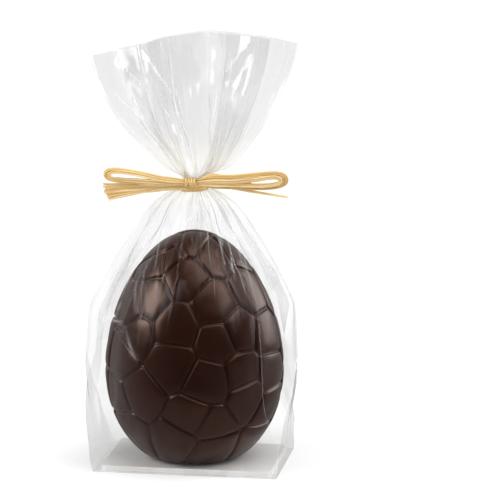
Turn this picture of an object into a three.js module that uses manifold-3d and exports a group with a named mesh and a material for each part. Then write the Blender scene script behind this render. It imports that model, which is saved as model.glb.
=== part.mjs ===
// A hollow chocolate egg with a crackle relief, standing on a card in a clear block-bottom bag
// that is gathered above it and tied with a raffia bow.
//
// Millimetres, +Z up. The origin is on the surface the card lies on, under the middle of the bag.
// The egg faces -Y, and the two side folds of the bag point along -X and +X.

import * as THREE from 'three'
import Module from 'manifold-3d'
import { mergeVertices } from 'three/addons/utils/BufferGeometryUtils.js'

const wasm = await Module()
wasm.setup()

// ---- Driving dimensions ----

const gap = 0.3 // left between pieces that touch

// Card under the egg
const cardWidth = 92
const cardDepth = 61
const cardThickness = 3
const cardCorner = 2.5

// Egg: an oval cut flat at its foot
const eggRadius = 48.6
const eggOvalHeight = 132
const eggFootCut = 7.2
const eggFullness = 0.146 // how much fuller the lower half is than the upper
const eggFoot = cardThickness + gap
const eggHeart = 53 // height above the foot of the point that the plates are laid out around
const footRounding = 1.3

// Crackle relief: plates with a groove between them
const grooveHalfWidth = 1.2
const grooveDepth = 0.9
const rimWidth = 3.2
const rimDrop = 0.25
const plateEdgeStep = 7.5
const smallestRim = 0.3 // the rim and the flat start no further in than these shares of a plate
const smallestFlat = 0.6
const plateSpacing = 21

// Bag
const bagWidth = 100
const bagDepth = 69
const bagWall = 1 // between the egg's hollow and the outside, where the bag hugs the egg
const eggClearance = 0.6
const shoulderHeight = 85
const shoulderHalfWidth = 57.4
const sideFoldHalfWidth = 58.8
const sideFoldHeight = 50
const neckHeight = 155
const neckRadius = 5.4
const neckLength = 9
const fanHalfWidth = 56.8
const fanTop = 238.3
const fanPeak = 7 // how far right of the middle the fan is tallest
const fanRoundness = 0.0031 // drop of the top edge for each square millimetre away from its peak
const fanHalfDepth = 4.5
const sectionPoints = 64
const pleats = 16

// Raffia bow, in front of the neck
const bandRadius = 7.6
const bandHeight = 6
const bowFront = -9.6
const knotWidth = 6.4
const knotHeight = 7
const knotDepth = 4.6
const strandWidth = 2.5
const strandThickness = 1.5
const rootLength = 3 // where the strands of a loop gather beside the knot
const rootWidth = 6.2
const rootThickness = 3.6
const loopReach = 49.5
const tailReach = 49

// ---- Small helpers ----

const radians = THREE.MathUtils.degToRad
const lerp = THREE.MathUtils.lerp

// A smooth step from 0 at a to 1 at b.
function ease(value, a, b) {
  const t = THREE.MathUtils.clamp((value - a) / (b - a), 0, 1)
  return t * t * (3 - 2 * t)
}

// Linear interpolation in a list of [position, value] pairs.
function along(stations, position) {
  const last = stations.length - 1
  const next = stations.findIndex(([at]) => at >= position)
  if (next === 0) return stations[0][1]
  if (next < 0) return stations[last][1]
  const [a, valueA] = stations[next - 1]
  const [b, valueB] = stations[next]
  return lerp(valueA, valueB, (position - a) / (b - a))
}

function geometryFrom(positions, indices) {
  const geometry = new THREE.BufferGeometry()
  geometry.setAttribute('position', new THREE.Float32BufferAttribute(positions, 3))
  geometry.setIndex(indices)
  return geometry
}

// Keeps positions only and shares the vertices that lie together.
function welded(geometry, tolerance = 1e-3) {
  const bare = geometry.clone()
  for (const name of Object.keys(bare.attributes)) {
    if (name !== 'position') bare.deleteAttribute(name)
  }
  return mergeVertices(bare, tolerance)
}

function solid(geometry) {
  const merged = welded(geometry)
  const mesh = new wasm.Mesh({
    numProp: 3,
    vertProperties: new Float32Array(merged.attributes.position.array),
    triVerts: new Uint32Array(merged.index.array)
  })
  return new wasm.Manifold(mesh)
}

function geometryOf(manifold) {
  const mesh = manifold.getMesh()
  return geometryFrom(Array.from(mesh.vertProperties), Array.from(mesh.triVerts))
}

// Drops the triangles that use a vertex twice.
function withoutSlivers(indices) {
  const kept = []
  for (let first = 0; first < indices.length; first += 3) {
    const corners = indices.slice(first, first + 3)
    if (new Set(corners).size === 3) kept.push(...corners)
  }
  return kept
}

function united(geometries) {
  const [first, ...rest] = geometries.map(solid)
  return geometryOf(rest.reduce((sum, next) => sum.add(next), first))
}

// ---- Egg outline ----

// Radius of the uncut oval at a height above the egg's foot.
function ovalRadius(height) {
  const up = (height + eggFootCut) / (eggOvalHeight / 2) - 1
  if (Math.abs(up) >= 1) return 0
  return (eggRadius * Math.sqrt(1 - up * up) * (1 - eggFullness * up)) / widestFactor()
}

// The fullness moves the widest place down and makes it wider, so the radius is divided by this.
function widestFactor() {
  const up = (1 - Math.sqrt(1 + 8 * eggFullness * eggFullness)) / (4 * eggFullness)
  return Math.sqrt(1 - up * up) * (1 - eggFullness * up)
}

// Distance from the egg's heart to the uncut oval in a direction.
function ovalReach(direction) {
  const flat = Math.hypot(direction.x, direction.y)
  let inside = 0
  let outside = eggOvalHeight
  for (let step = 0; step < 40; step++) {
    const middle = (inside + outside) / 2
    const within = middle * flat < ovalRadius(eggHeart + middle * direction.z)
    if (within) inside = middle
    else outside = middle
  }
  return inside
}

// A point of the egg's skin: the oval raised or sunk by a relief, then cut flat at the foot with a
// rounded edge.
function eggPoint(direction, relief) {
  const lowestUncut = -0.3 // directions above this one are well clear of the foot
  let reach = ovalReach(direction) + relief
  if (direction.z < lowestUncut) {
    const footReach = -eggHeart / direction.z
    const over = (reach - footReach) / footRounding
    reach = footReach - footRounding * Math.log1p(Math.exp(-over))
  }
  return direction.clone().multiplyScalar(reach).setZ(direction.z * reach + eggHeart)
}

// ---- Crackle plates ----

// Middles of the plates on the front of the egg, from -152 to -5 degrees round from +X:
// [azimuth in degrees, height above the foot].
const frontPlates = [
  [-139, 118], [-120, 115], [-86, 121], [-51, 117], [-7, 115],
  [-131, 113], [-92, 107], [-64, 92], [-24, 98], [-137, 88],
  [-120, 94], [-95, 82], [-63, 74], [-48, 78], [-19, 72],
  [-126, 75], [-136, 61], [-97, 62], [-71, 51], [-47, 55],
  [-21, 53], [-120, 43], [-81, 30], [-43, 41], [-20, 31],
  [-143, 36], [-139, 21], [-92, 16], [-70, 26], [-67, 11], [-21, 13]
]

// Directions from the egg's heart to the middles of all plates. The rest of the egg is filled from
// a wavering spiral that skips the places already taken.
function plateDirections() {
  const middles = []
  const take = (azimuth, height) => {
    const radius = ovalRadius(height)
    const angle = radians(azimuth)
    middles.push(new THREE.Vector3(radius * Math.cos(angle), radius * Math.sin(angle), height - eggHeart))
  }
  for (const [azimuth, height] of frontPlates) take(azimuth, height)
  const spiralSteps = 220
  const goldenAngle = 137.5
  const spiralBottom = 9
  const spiralTop = 123
  const waver = 6
  for (let step = 0; step < spiralSteps; step++) {
    const height = lerp(spiralBottom, spiralTop, (step + 0.5) / spiralSteps)
    take(step * goldenAngle + waver * Math.sin(step * 2.3), height + waver * Math.sin(step * 1.7))
    const last = middles[middles.length - 1]
    const crowded = middles.some(other => other !== last && other.distanceTo(last) < plateSpacing)
    if (crowded) middles.pop()
  }
  middles.push(new THREE.Vector3(0, 0, -eggHeart))
  return middles.map(middle => middle.normalize())
}

// Corners of one plate, as directions: a big square on the plane that touches the unit sphere at the
// plate's middle, clipped halfway to each of the other plates.
function plateCorners(middle, others) {
  const pole = Math.abs(middle.z) < 0.9 ? new THREE.Vector3(0, 0, 1) : new THREE.Vector3(1, 0, 0)
  const across = pole.cross(middle).normalize()
  const upward = middle.clone().cross(across)
  let outline = [[-2, -2], [2, -2], [2, 2], [-2, 2]]
  for (const other of others) {
    const away = middle.clone().sub(other)
    const side = ([x, y]) => away.dot(middle) + away.dot(across) * x + away.dot(upward) * y
    const kept = []
    outline.forEach((start, index) => {
      const end = outline[(index + 1) % outline.length]
      const [sideStart, sideEnd] = [side(start), side(end)]
      if (sideStart >= 0) kept.push(start)
      if (sideStart >= 0 !== sideEnd >= 0) {
        const t = sideStart / (sideStart - sideEnd)
        kept.push([lerp(start[0], end[0], t), lerp(start[1], end[1], t)])
      }
    })
    outline = kept
  }
  return outline.map(([x, y]) => {
    return middle.clone().addScaledVector(across, x).addScaledVector(upward, y).normalize()
  })
}

// Steps along the sides of a plate, at the same places whichever plate they are seen from.
function plateEdge(corners) {
  return corners.flatMap((corner, index) => {
    const next = corners[(index + 1) % corners.length]
    const reach = ovalReach(corner.clone().add(next).normalize())
    const steps = Math.max(1, Math.round((corner.distanceTo(next) * reach) / plateEdgeStep))
    return Array.from({ length: steps }, (_, step) => corner.clone().lerp(next, step / steps).normalize())
  })
}

// The skin, plate by plate: the groove's bottom, the rim, the start of the flat and the middle.
function eggGeometry() {
  const middles = plateDirections()
  const positions = []
  const indices = []
  const addPoint = (direction, relief) => {
    const point = eggPoint(direction, relief)
    return positions.push(point.x, point.y, point.z + eggFoot) / 3 - 1
  }
  for (const middle of middles) {
    const others = middles.filter(other => other !== middle)
    const corners = plateCorners(middle, others)
    const edge = plateEdge(corners)
    const centre = corners.reduce((sum, corner) => sum.add(corner), new THREE.Vector3()).normalize()
    const inwards = others.map(other => middle.clone().sub(other).normalize())
    const reach = ovalReach(centre)
    const inset = direction => reach * Math.min(...inwards.map(inward => inward.dot(direction)))
    // The point between the plate's centre and its edge that lies a given distance inside the edge.
    const insetFrom = (side, distance) => {
      let inner = 0
      let outer = 1
      for (let step = 0; step < 16; step++) {
        const t = (inner + outer) / 2
        if (inset(centre.clone().lerp(side, t)) > distance) inner = t
        else outer = t
      }
      return centre.clone().lerp(side, inner).normalize()
    }
    const halfSize = inset(centre)
    const rimInset = Math.min(grooveHalfWidth, halfSize * smallestRim)
    const flatInset = Math.min(grooveHalfWidth + rimWidth, halfSize * smallestFlat)
    const rings = [
      edge.map(side => addPoint(side, -grooveDepth)),
      edge.map(side => addPoint(insetFrom(side, rimInset), -rimDrop)),
      edge.map(side => addPoint(insetFrom(side, flatInset), 0))
    ]
    const top = addPoint(centre, 0)
    edge.forEach((_, index) => {
      const next = (index + 1) % edge.length
      const [groove, rim, flat] = rings
      indices.push(groove[index], groove[next], rim[next], groove[index], rim[next], rim[index])
      indices.push(rim[index], rim[next], flat[next], rim[index], flat[next], flat[index])
      indices.push(flat[index], flat[next], top)
    })
  }
  return welded(geometryFrom(positions, indices))
}

// ---- Bag ----

// Half the bag's width, from side fold to side fold, at heights up to the neck.
const widthStations = [
  [0, bagWidth / 2],
  [sideFoldHeight * 0.6, sideFoldHalfWidth - 1],
  [sideFoldHeight, sideFoldHalfWidth],
  [shoulderHeight, shoulderHalfWidth],
  [lerp(shoulderHeight, neckHeight, 0.5), shoulderHalfWidth * 0.68],
  [lerp(shoulderHeight, neckHeight, 0.77), shoulderHalfWidth * 0.46],
  [neckHeight - neckLength / 2, neckRadius]
]

// Half its depth where the egg doesn't push it further out.
const tangentHeight = 96
const tangentHalfDepth = 39
const depthStations = [
  [0, bagDepth / 2],
  [sideFoldHeight, eggRadius],
  [tangentHeight, tangentHalfDepth],
  [neckHeight - neckLength / 2, neckRadius]
]

// Depth of the pleats, as a share of the radius.
const pleatStations = [
  [shoulderHeight, 0],
  [tangentHeight + 10, 0.06],
  [lerp(shoulderHeight, neckHeight, 0.77), 0.24],
  [neckHeight, 0.3]
]

const bodyHeights = [0, 6, 14, 24, 34, 44, 54, 64, 74, 85, 93, 101, 110, 119, 129, 139, 146, 150.5]
const fanHeights = [0, 0.05, 0.12, 0.22, 0.34, 0.48, 0.64, 0.82, 1]
const fanWidthStations = [
  [0, 0.1],
  [0.09, 0.35],
  [0.235, 0.51],
  [0.43, 0.7],
  [0.62, 0.83],
  [0.81, 0.93],
  [1, 1]
]
const fanDepthStations = [[0, 1.2], [0.2, 2], [0.5, 1.8], [1, 1]]

// Directions of the section's points round the bag, with one on each side fold and each base corner.
const sectionAngles = Array.from({ length: sectionPoints }, (_, index) => {
  const quarter = sectionPoints / 4
  const cornerAngle = Math.atan2(bagDepth, bagWidth)
  const cornerIndex = Math.round(quarter * 0.4)
  const place = index % (2 * quarter)
  const folded = Math.min(place, 2 * quarter - place)
  const angle = folded < cornerIndex
    ? (cornerAngle * folded) / cornerIndex
    : lerp(cornerAngle, Math.PI / 2, (folded - cornerIndex) / (quarter - cornerIndex))
  const mirrored = place > quarter ? Math.PI - angle : angle
  return index < 2 * quarter ? mirrored : mirrored + Math.PI
})

// 1 on the crest of a pleat, 0 between two pleats.
function pleatWave(index) {
  const period = sectionPoints / pleats
  return Math.abs((index % period) / (period / 2) - 1)
}

// Radius of a bag section: a rectangle at the base that turns into the egg's circle with a pointed
// fold at each side, and gathers into pleats above the shoulders.
function bodyRadius(height, angle, index) {
  const halfWidth = along(widthStations, height)
  const eggHeight = height - eggFoot
  const hug = eggHeight > 0 ? ovalRadius(eggHeight) + eggClearance + bagWall : 0
  const halfDepth = Math.max(hug, along(depthStations, height))
  const cosine = Math.abs(Math.cos(angle))
  const sine = Math.abs(Math.sin(angle))
  const box = Math.min(halfWidth / Math.max(cosine, 1e-6), halfDepth / Math.max(sine, 1e-6))
  const circle = Math.min(halfDepth, halfWidth)
  const tangentAngle = Math.acos(circle / halfWidth)
  const fromSide = Math.atan2(sine, cosine)
  const pointed = fromSide < tangentAngle ? circle / Math.cos(tangentAngle - fromSide) : circle
  const smooth = lerp(box, pointed, Math.min(1, height / sideFoldHeight))
  const pleated = smooth * (1 - along(pleatStations, height) * (1 - pleatWave(index)))
  return Math.max(hug, pleated)
}

function bodyPoint(height, index) {
  const angle = sectionAngles[index]
  const radius = bodyRadius(height, angle, index)
  return [radius * Math.cos(angle), radius * Math.sin(angle), height]
}

// The fan above the tie: two pleated layers that close at the sides, up to a rounded top edge.
function fanPoint(share, index) {
  const half = sectionPoints / 2
  const side = index < half ? 1 : -1
  const across = 1 - (2 * (index < half ? index : sectionPoints - index)) / half
  const neckAcross = Math.cos(sectionAngles[index])
  const spread = lerp(neckAcross, across, ease(share, 0, 0.3))
  const x = fanHalfWidth * along(fanWidthStations, share) * spread
  const topEdge = fanTop - fanRoundness * (x - fanPeak) ** 2
  const closing = Math.sqrt(1 - Math.min(1, spread * spread))
  const ripple = lerp(0.55, 1, pleatWave(index))
  const y = side * fanHalfDepth * along(fanDepthStations, share) * closing * ripple
  return [x, y, lerp(neckHeight + neckLength / 2, topEdge, share)]
}

// The outside of the bag: sections joined level by level, with a strip across at each end.
function bagSkin() {
  const levels = [
    ...bodyHeights.map(height => index => bodyPoint(height, index)),
    ...fanHeights.map(share => index => {
      return share === 0 ? bodyPoint(neckHeight + neckLength / 2, index) : fanPoint(share, index)
    })
  ]
  const positions = levels.flatMap(level => sectionAngles.flatMap((_, index) => level(index)))
  const indices = []
  const at = (level, index) => level * sectionPoints + (index % sectionPoints)
  for (let level = 0; level + 1 < levels.length; level++) {
    for (let index = 0; index < sectionPoints; index++) {
      indices.push(at(level, index), at(level, index + 1), at(level + 1, index + 1))
      indices.push(at(level, index), at(level + 1, index + 1), at(level + 1, index))
    }
  }
  const top = levels.length - 1
  for (let index = 0; index < sectionPoints / 2; index++) {
    const [near, nearNext] = [index, index + 1]
    const [far, farNext] = [sectionPoints - index, sectionPoints - index - 1]
    indices.push(at(top, near), at(top, nearNext), at(top, farNext))
    indices.push(at(top, near), at(top, farNext), at(top, far))
    indices.push(at(0, near), at(0, farNext), at(0, nearNext))
    indices.push(at(0, near), at(0, far), at(0, farNext))
  }
  return geometryFrom(positions, withoutSlivers(indices))
}

// The hollow that the egg stands in, open below.
function eggHollow() {
  const rings = 18
  const segments = 40
  const top = eggOvalHeight - eggFootCut
  const belowFoot = -3 * gap
  const profile = [new THREE.Vector2(0, belowFoot)]
  for (let ring = 0; ring < rings; ring++) {
    const height = (top * (1 - Math.cos((Math.PI * ring) / rings))) / 2
    const radius = ovalRadius(height) + eggClearance
    if (ring === 0) profile.push(new THREE.Vector2(radius, belowFoot))
    profile.push(new THREE.Vector2(radius, height))
  }
  profile.push(new THREE.Vector2(0, top + eggClearance))
  return new THREE.LatheGeometry(profile, segments).rotateX(Math.PI / 2).translate(0, 0, eggFoot)
}

function bagGeometry() {
  const recessHeight = cardThickness + gap
  const recess = new THREE.BoxGeometry(cardWidth + 2 * gap, cardDepth + 2 * gap, 2 * recessHeight)
  return geometryOf(solid(bagSkin()).subtract(solid(recess)).subtract(solid(eggHollow())))
}

// ---- Card ----

function cardGeometry() {
  const [x, y] = [cardWidth / 2 - cardCorner, cardDepth / 2 - cardCorner]
  const outline = new THREE.Shape()
  outline.absarc(x, y, cardCorner, 0, Math.PI / 2)
  outline.absarc(-x, y, cardCorner, Math.PI / 2, Math.PI)
  outline.absarc(-x, -y, cardCorner, Math.PI, Math.PI * 1.5)
  outline.absarc(x, -y, cardCorner, Math.PI * 1.5, Math.PI * 2)
  outline.closePath()
  const depth = cardThickness
  return welded(new THREE.ExtrudeGeometry(outline, { depth, bevelEnabled: false, curveSegments: 4 }))
}

// ---- Raffia bow ----

// An eight-sided oval.
function ovalSection(sizeX, sizeY) {
  const sides = 8
  const section = new THREE.Shape()
  for (let side = 0; side < sides; side++) {
    const angle = ((side + 0.5) * 2 * Math.PI) / sides
    const x = (sizeX / 2) * Math.cos(angle)
    const y = (sizeY / 2) * Math.sin(angle)
    if (side === 0) section.moveTo(x, y)
    else section.lineTo(x, y)
  }
  section.closePath()
  return section
}

// A strand through points [x, z], at a depth in front of the neck.
function strand(points, front, steps) {
  const extrudePath = new THREE.CatmullRomCurve3(points.map(([x, z]) => new THREE.Vector3(x, front, z)))
  const section = ovalSection(strandThickness, strandWidth)
  return welded(new THREE.ExtrudeGeometry(section, { steps, extrudePath, bevelEnabled: false }))
}

const bowHeight = neckHeight + 2
const knotSide = knotWidth / 2 + gap
const tailFront = bowFront + strandThickness + gap

// The strands of a loop lie in two layers, one in front of the other.
const backLayer = bowFront - gap
const frontLayer = backLayer - strandThickness - gap

// One strand of a loop: out along the top, round the end and back along the bottom.
function loopStrand(side, reach, rise, drop, front) {
  const x = share => side * lerp(knotSide + rootLength / 2, reach, share)
  const z = offset => bowHeight + offset
  const apart = strandWidth / 2 + gap
  return strand([
    [x(0), z(apart)],
    [x(0.25), z(lerp(apart, rise, 0.55))],
    [x(0.6), z(lerp(apart, rise, 0.85))],
    [x(0.93), z(rise)],
    [x(1), z((rise + drop) / 2)],
    [x(0.9), z(drop)],
    [x(0.55), z(lerp(-apart, drop, 0.9))],
    [x(0.2), z(lerp(-apart, drop, 0.4))],
    [x(0), z(-apart)]
  ], front, 26)
}

// Where the strands of a loop gather beside the knot.
function loopRoot(side) {
  const extrusion = { depth: rootLength, bevelEnabled: false }
  const root = new THREE.ExtrudeGeometry(ovalSection(rootWidth, rootThickness), extrusion)
  const start = side > 0 ? knotSide : -knotSide - rootLength
  return welded(root.rotateY(Math.PI / 2).translate(start, (backLayer + frontLayer) / 2, bowHeight))
}

// One cut end: from the knot out to its tip, sagging a little.
function tailStrand(side, reach, tip, front) {
  const x = share => side * lerp(knotSide + 0.5, reach, share)
  return strand([
    [x(0), bowHeight - 0.8],
    [x(0.35), bowHeight - 0.8 + tip * 0.3],
    [x(0.7), bowHeight - 0.8 + tip * 0.68],
    [x(1), bowHeight - 0.8 + tip]
  ], front, 8)
}

function leftLoop() {
  return united([
    loopRoot(-1),
    loopStrand(-1, loopReach - 1.5, 7, -1, backLayer),
    loopStrand(-1, loopReach - 5, 4.6, -1.2, frontLayer)
  ])
}

function rightLoop() {
  return united([
    loopRoot(1),
    loopStrand(1, loopReach + 3, 5.2, -4, backLayer),
    loopStrand(1, loopReach + 0.5, 3.3, -2.6, frontLayer)
  ])
}

function leftTails() {
  const tips = [-3, -4.6, -6.2, -7.8, -9]
  return united(tips.map((tip, index) => {
    const shorter = index * 0.8
    return tailStrand(-1, tailReach + 1 - shorter, tip, tailFront + (index % 2) * 0.3)
  }))
}

function rightTail() {
  return tailStrand(1, tailReach + 5, -8.2, tailFront)
}

// The turns round the neck, with a smooth waist inside.
function bandGeometry() {
  const turns = 4
  const inner = neckRadius + gap
  const half = bandHeight / 2
  const profile = [new THREE.Vector2(inner, -half)]
  for (let turn = 0; turn < turns; turn++) {
    const low = -half + (turn * bandHeight) / turns
    profile.push(new THREE.Vector2(bandRadius - 0.5, low + (turn === 0 ? 0 : 0.12)))
    profile.push(new THREE.Vector2(bandRadius, low + bandHeight / turns / 2))
  }
  profile.push(new THREE.Vector2(bandRadius - 0.5, half), new THREE.Vector2(inner, half), profile[0].clone())
  return welded(new THREE.LatheGeometry(profile, 28).rotateX(Math.PI / 2))
}

// The knot's turns, seen as ridges from top to bottom.
function knotGeometry() {
  const turns = 4
  const outline = new THREE.Shape()
  const back = knotDepth / 2
  outline.moveTo(-knotWidth / 2, back)
  for (let turn = 0; turn < turns; turn++) {
    const left = -knotWidth / 2 + (turn * knotWidth) / turns
    outline.lineTo(left + 0.1, -back + 0.7)
    outline.lineTo(left + knotWidth / turns / 2, -back)
  }
  outline.lineTo(knotWidth / 2 - 0.1, -back + 0.7)
  outline.lineTo(knotWidth / 2, back)
  outline.closePath()
  const extrusion = { depth: knotHeight, bevelEnabled: false }
  return welded(new THREE.ExtrudeGeometry(outline, extrusion)).translate(0, 0, -knotHeight / 2)
}

// ---- Materials and assembly ----

function material(color, roughness) {
  return new THREE.MeshStandardMaterial({ color, roughness, metalness: 0 })
}

function piece(name, geometry, finish, [x, y, z] = [0, 0, 0]) {
  const mesh = new THREE.Mesh(geometry, finish)
  mesh.name = name
  mesh.position.set(x, y, z)
  return mesh
}

const chocolate = () => material('#36231d', 0.38)
const board = () => material('#d8d4cf', 0.7)
const raffia = () => material('#dcb066', 0.75)
const film = () => {
  const clear = material('#eef0f1', 0.1)
  clear.transparent = true
  clear.opacity = 0.3
  return clear
}

const packedEgg = new THREE.Group()
packedEgg.add(
  piece('card', cardGeometry(), board()),
  piece('egg', eggGeometry(), chocolate()),
  piece('bag', bagGeometry(), film())
)

const bow = new THREE.Group()
bow.add(
  piece('raffia_band', bandGeometry(), raffia(), [0, 0, neckHeight]),
  piece('raffia_knot', knotGeometry(), raffia(), [0, bowFront - 0.6, bowHeight]),
  piece('raffia_loop_left', leftLoop(), raffia()),
  piece('raffia_loop_right', rightLoop(), raffia()),
  piece('raffia_tails_left', leftTails(), raffia()),
  piece('raffia_tail_right', rightTail(), raffia())
)
packedEgg.add(bow)

export default packedEgg
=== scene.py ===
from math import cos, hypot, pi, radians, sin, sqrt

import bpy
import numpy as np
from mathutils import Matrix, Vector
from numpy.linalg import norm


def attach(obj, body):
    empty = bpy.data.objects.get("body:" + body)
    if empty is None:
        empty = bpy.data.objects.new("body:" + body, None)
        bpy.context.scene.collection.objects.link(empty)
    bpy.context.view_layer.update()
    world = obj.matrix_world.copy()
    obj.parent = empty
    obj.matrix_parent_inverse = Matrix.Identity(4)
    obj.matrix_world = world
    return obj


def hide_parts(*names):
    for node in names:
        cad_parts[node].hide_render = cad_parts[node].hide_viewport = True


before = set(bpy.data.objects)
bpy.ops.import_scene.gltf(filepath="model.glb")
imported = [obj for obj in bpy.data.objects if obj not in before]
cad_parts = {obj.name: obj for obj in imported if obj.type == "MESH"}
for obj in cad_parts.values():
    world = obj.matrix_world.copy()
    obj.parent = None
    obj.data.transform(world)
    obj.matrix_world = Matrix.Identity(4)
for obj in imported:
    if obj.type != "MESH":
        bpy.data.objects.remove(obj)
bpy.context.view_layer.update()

# A dark chocolate egg with a crackle relief, on a card in a clear bag tied with a raffia bow.
#
# The CAD frame gives the places. Here the egg gets its rounded grooves, the bag becomes thin
# creased film, and the bow becomes fibrous strands. Shapes are worked out in millimetres and
# turned into metres when the meshes are made. X is to the right, Y to the back and Z up.

scene = bpy.context.scene

MM = 0.001


# -------- small helpers

def ramp(value, start, end):
    """0 at start, 1 at end, straight between."""
    return np.clip((np.asarray(value, float) - start) / (end - start), 0, 1)


def smooth(value, start, end):
    """A smooth step from 0 at start to 1 at end."""
    t = ramp(value, start, end)
    return t * t * (3 - 2 * t)


def unit(vectors):
    """Vectors of length one."""
    length = norm(vectors, axis=-1, keepdims=True)
    return vectors / np.maximum(length, 1e-12)


def running(steps):
    """Sums of the steps so far, from 0 to all of them."""
    return np.concatenate([[0], np.cumsum(steps)])


def place(name, points, faces, material, nodes, crease_deg=None):
    """A mesh piece from points in millimetres, riding on the body and standing for CAD nodes."""
    mesh = bpy.data.meshes.new(name)
    mesh.from_pydata((np.asarray(points) * MM).tolist(), [], faces)
    mesh.update()
    mesh.shade_smooth()
    if crease_deg:
        mesh.set_sharp_from_angle(angle=radians(crease_deg))
    mesh.materials.append(material)
    piece = bpy.data.objects.new(name, mesh)
    scene.collection.objects.link(piece)
    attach(piece, "root")
    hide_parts(*nodes)
    return piece


# -------- camera, floor and light

# Places and lamp sizes are in metres, angles in degrees, the lens and its sensor in millimetres.
TARGET = Vector((0, 0, 0.115))
CAMERA_DISTANCE = 2.0
CAMERA_AZIMUTH = 9.5
CAMERA_ELEVATION = 11.5
SENSOR_WIDTH = 36
LENS_LENGTH = 266.4
LENS_SHIFT = (0.1108, 0.0078)

SUN_PLACE = (0.45, -0.15, 1.6)
SUN_STRENGTH = 1.95
SUN_SPREAD = 60

# Square lamps: name, place, side and watts.
LAMPS = [
    ("key", (-1.45, -0.6, 1.05), 0.95, 19.5),
    ("right", (1.5, -0.5, 1.35), 0.7, 7),
    ("rim", (1.3, 1.1, 0.5), 0.9, 9),
]

# The surroundings as lit surfaces and as reflections see them: how bright they are in front of the
# egg and behind it, and the directions along Y between which they change.
LIT_SKY = (0.80, 0.14, -1.0, 1.0)
MIRRORED_SKY = (0.004, 0.7, -0.35, 0.75)

FLOOR_SIZE = 24


def add_aimed(name, data, location):
    """A camera or light that points at the pack."""
    obj = bpy.data.objects.new(name, data)
    scene.collection.objects.link(obj)
    obj.location = location
    obj.rotation_euler = (TARGET - obj.location).to_track_quat("-Z", "Y").to_euler()
    return obj


def add_camera():
    azimuth, elevation = radians(CAMERA_AZIMUTH), radians(CAMERA_ELEVATION)
    away = Vector((sin(azimuth) * cos(elevation), -cos(azimuth) * cos(elevation), sin(elevation)))
    data = bpy.data.cameras.new("camera")
    data.sensor_width = SENSOR_WIDTH
    data.lens = LENS_LENGTH
    data.shift_x, data.shift_y = LENS_SHIFT
    scene.camera = add_aimed("camera", data, TARGET + away * CAMERA_DISTANCE)


def add_world():
    """Even soft surroundings; reflections see them dark on the side that the egg faces."""
    scene.world = bpy.data.worlds.new("studio")
    shader = Shader(scene.world, "OutputWorld")
    backward = shader.axes(shader.coordinates("Generated"))["Y"]
    strength = shader.add("Mix", Factor=shader.in_reflections(),
                          A=shader.spread(backward, *LIT_SKY),
                          B=shader.spread(backward, *MIRRORED_SKY))
    shader.done(shader.add("Background", Color=(1, 1, 1, 1), Strength=strength))


def add_lights():
    """A wide soft sun from above, and lamps at both sides and behind."""
    sun = bpy.data.lights.new("overhead", "SUN")
    sun.energy = SUN_STRENGTH
    sun.angle = radians(SUN_SPREAD)
    add_aimed("overhead", sun, SUN_PLACE)
    for name, location, side, watts in LAMPS:
        lamp = bpy.data.lights.new(name, "AREA")
        lamp.size = side
        lamp.energy = watts
        add_aimed(name, lamp, location)


def add_floor():
    bpy.ops.mesh.primitive_plane_add(size=FLOOR_SIZE)
    floor = bpy.context.object
    floor.name = "floor"
    floor.data.materials.append(floor_material())


# -------- materials

class Shader:
    """The nodes of a material or the world, with short ways to add and link them."""

    def __init__(self, owner, output="OutputMaterial"):
        self.owner = owner
        owner.use_nodes = True
        self.tree = owner.node_tree
        self.tree.nodes.clear()
        self.output = self.node(output)

    def put(self, socket, value):
        if isinstance(value, bpy.types.NodeSocket):
            self.tree.links.new(value, socket)
        else:
            socket.default_value = value

    def node(self, kind, *values, operation=None, **named):
        """A node with values or links for its first inputs and the named ones."""
        node = self.tree.nodes.new("ShaderNode" + kind)
        if operation:
            node.operation = operation
        for socket, value in zip(node.inputs, values):
            self.put(socket, value)
        for name, value in named.items():
            self.put(node.inputs[name.replace("_", " ")], value)
        return node

    def add(self, kind, *values, **named):
        """The first output of a new node."""
        return self.node(kind, *values, **named).outputs[0]

    def done(self, surface):
        self.put(self.output.inputs["Surface"], surface)
        return self.owner

    def principled(self, **values):
        return self.done(self.add("BsdfPrincipled", **values))

    def math(self, operation, *values):
        return self.add("Math", *values, operation=operation)

    def vector_math(self, operation, *values, **named):
        return self.add("VectorMath", *values, operation=operation, **named)

    def noise(self, vector, scale, detail, roughness=0.5):
        node = self.node("TexNoise", Vector=vector, Scale=scale, Detail=detail, Roughness=roughness)
        return node.outputs["Fac"]

    def spread(self, value, low=0.0, high=1.0, start=0.3, end=0.7):
        """Takes a value from start..end to low..high."""
        return self.add("MapRange", Value=value, From_Min=start, From_Max=end, To_Min=low, To_Max=high)

    def blend(self, share, color_a, color_b):
        node = self.node("Mix", Factor=share)
        node.data_type = "RGBA"
        self.put(node.inputs[6], color_a)
        self.put(node.inputs[7], color_b)
        return node.outputs[2]

    def bump(self, height, strength, distance, **normal):
        return self.add("Bump", Height=height, Strength=strength, Distance=distance, **normal)

    def coordinates(self, kind="Object"):
        return self.node("TexCoord").outputs[kind]

    def uv_coordinates(self, name):
        node = self.node("UVMap")
        node.uv_map = name
        return node.outputs[0]

    def scaled(self, vector, across, along):
        return self.add("Mapping", vector, Scale=(across, along, 1.0))

    def axes(self, vector):
        return self.node("SeparateXYZ", vector).outputs

    def painted(self, name):
        """A value that the mesh holds for each of its points."""
        node = self.node("Attribute")
        node.attribute_name = name
        return node.outputs["Fac"]

    def in_reflections(self):
        """1 where a reflection sees the surface, otherwise 0."""
        return self.node("LightPath").outputs["Is Glossy Ray"]


def new_material(name):
    return Shader(bpy.data.materials.new(name))


FLOOR_GREY = (0.52, 0.52, 0.52, 1)
FLOOR_GLOW = 0.40
# What reflections see of the floor is painted: a dark painted shade in front, and paler painted
# reflections near the pack and at the sides.
PAINTED_DARK_REFLECTION = (0.003, 0.003, 0.003, 1)
PAINTED_PALE_FRONT = (0.42, 0.41, 0.40, 1)
PAINTED_PALE_SIDES = (0.40, 0.39, 0.38, 1)


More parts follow.
